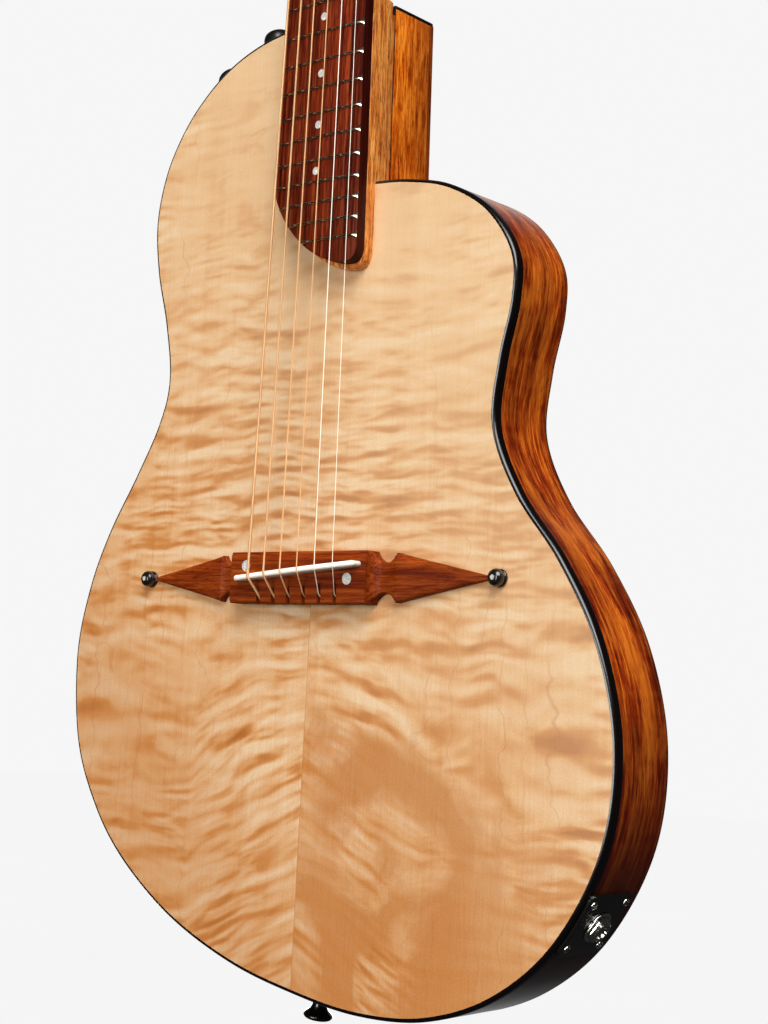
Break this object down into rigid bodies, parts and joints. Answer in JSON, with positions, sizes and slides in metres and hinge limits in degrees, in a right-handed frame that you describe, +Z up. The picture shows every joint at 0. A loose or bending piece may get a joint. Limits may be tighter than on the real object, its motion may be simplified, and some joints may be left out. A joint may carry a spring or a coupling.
{
  "type": "steel-string electro-acoustic guitar",
  "caption": "Thin-bodied single-cutaway steel-string guitar with a curly maple soundboard, shaped bridge, slanted saddle, rim knobs and sealed worm-gear tuners.",
  "frame": {"origin": "on the centre line at the nut line, where the fretboard ends, level with the soundboard's outer face", "axes": "+Z up along the neck from body to headstock, -Y out of the soundboard toward the player, +Y toward the back, +X to the treble side"},
  "size_m": [0.3494, 0.0692, 1.0242],
  "materials": {
    "maple": "glossy figured maple, clear lacquer",
    "mahogany": "glossy orange-brown lacquer",
    "rosewood": "satin open-grained dark wood",
    "ebony": "polished black wood",
    "black": "polished black",
    "bone": "polished bone white",
    "spruce": "bare sanded wood",
    "bronze": "round-wound bronze wire",
    "steel": "bright plain steel",
    "nickel": "bright nickel plate",
    "circuit": "green circuit board"
  },
  "bodies": {
    "guitar": {"top_plate": "maple", "back_plate": "mahogany", "bass_side": "mahogany", "treble_side": "mahogany", "top_binding": "black", "back_binding": "black", "top_lining": "mahogany", "back_lining": "mahogany", "electronics_cover": "black", "neck_block": "mahogany", "heel_cap": "ebony", "tail_block": "mahogany", "top_brace_waist": "spruce", "top_brace_lower": "spruce", "back_brace": "spruce", "bridge_plate": "maple", "neck": "mahogany", "truss_rod": "steel", "fretboard": "rosewood", "nut": "bone", "head_veneer": "rosewood", "truss_rod_cover": "black", "bridge": "rosewood", "saddle": "bone", "saddle_pickup": "black", "bridge_pin_bass": "ebony", "bridge_pin_treble": "ebony", "string_1": "steel", "string_2": "steel", "string_3": "bronze", "string_4": "bronze", "string_5": "bronze", "string_6": "bronze", "tuner_housing_1": "nickel", "tuner_housing_2": "nickel", "tuner_housing_3": "nickel", "tuner_housing_4": "nickel", "tuner_housing_5": "nickel", "tuner_housing_6": "nickel", "volume_pot": "steel", "tone_pot": "steel", "preamp_board": "circuit", "battery": "black", "jack_plate": "black", "output_jack": "nickel", "strap_button": "black"},
    "volume": {"volume_knob": "black"},
    "tone": {"tone_knob": "black"},
    "button_1": {"tuner_button_1": "nickel"},
    "post_1": {"tuner_post_1": "nickel"},
    "button_2": {"tuner_button_2": "nickel"},
    "post_2": {"tuner_post_2": "nickel"},
    "button_3": {"tuner_button_3": "nickel"},
    "post_3": {"tuner_post_3": "nickel"},
    "button_4": {"tuner_button_4": "nickel"},
    "post_4": {"tuner_post_4": "nickel"},
    "button_5": {"tuner_button_5": "nickel"},
    "post_5": {"tuner_post_5": "nickel"},
    "button_6": {"tuner_button_6": "nickel"},
    "post_6": {"tuner_post_6": "nickel"}
  },
  "joints": [
    {"name": "volume_turn", "type": "hinge", "parent": "guitar", "child": "volume", "pos_m": [-0.06008, 0.0175, -0.36785], "axis": [-0.2874, 0, 0.9578], "range_deg": [-140, 140]},
    {"name": "tone_turn", "type": "hinge", "parent": "guitar", "child": "tone", "pos_m": [-0.09109, 0.0175, -0.38297], "axis": [-0.5987, 0, 0.801], "range_deg": [-140, 140]},
    {"name": "button_1_turn", "type": "hinge", "parent": "guitar", "child": "button_1", "pos_m": [0.022, 0.02362, 0.04396], "axis": [1, 0, 0], "continuous": true},
    {"name": "button_2_turn", "type": "hinge", "parent": "guitar", "child": "button_2", "pos_m": [0.0215, 0.03261, 0.08293], "axis": [1, 0, 0], "continuous": true},
    {"name": "button_3_turn", "type": "hinge", "parent": "guitar", "child": "button_3", "pos_m": [0.021, 0.04161, 0.1219], "axis": [1, 0, 0], "continuous": true},
    {"name": "button_4_turn", "type": "hinge", "parent": "guitar", "child": "button_4", "pos_m": [-0.021, 0.04161, 0.1219], "axis": [-1, 0, 0], "continuous": true},
    {"name": "button_5_turn", "type": "hinge", "parent": "guitar", "child": "button_5", "pos_m": [-0.0215, 0.03261, 0.08293], "axis": [-1, 0, 0], "continuous": true},
    {"name": "button_6_turn", "type": "hinge", "parent": "guitar", "child": "button_6", "pos_m": [-0.022, 0.02362, 0.04396], "axis": [-1, 0, 0], "continuous": true},
    {"name": "post_1_turn", "type": "hinge", "parent": "guitar", "child": "post_1", "pos_m": [0.022, 0.0018, 0.04058], "axis": [0, -0.9744, 0.225], "continuous": true},
    {"name": "post_2_turn", "type": "hinge", "parent": "guitar", "child": "post_2", "pos_m": [0.0215, 0.0108, 0.07955], "axis": [0, -0.9744, 0.225], "continuous": true},
    {"name": "post_3_turn", "type": "hinge", "parent": "guitar", "child": "post_3", "pos_m": [0.021, 0.01979, 0.11853], "axis": [0, -0.9744, 0.225], "continuous": true},
    {"name": "post_4_turn", "type": "hinge", "parent": "guitar", "child": "post_4", "pos_m": [-0.021, 0.01979, 0.11853], "axis": [0, -0.9744, 0.225], "continuous": true},
    {"name": "post_5_turn", "type": "hinge", "parent": "guitar", "child": "post_5", "pos_m": [-0.0215, 0.0108, 0.07955], "axis": [0, -0.9744, 0.225], "continuous": true},
    {"name": "post_6_turn", "type": "hinge", "parent": "guitar", "child": "post_6", "pos_m": [-0.022, 0.0018, 0.04058], "axis": [0, -0.9744, 0.225], "continuous": true}
  ],
  "couplings": [
    {"joint": "post_1_turn", "follows": "button_1_turn", "ratio": 0.066667},
    {"joint": "post_2_turn", "follows": "button_2_turn", "ratio": 0.066667},
    {"joint": "post_3_turn", "follows": "button_3_turn", "ratio": 0.066667},
    {"joint": "post_4_turn", "follows": "button_4_turn", "ratio": -0.066667},
    {"joint": "post_5_turn", "follows": "button_5_turn", "ratio": -0.066667},
    {"joint": "post_6_turn", "follows": "button_6_turn", "ratio": -0.066667}
  ]
}
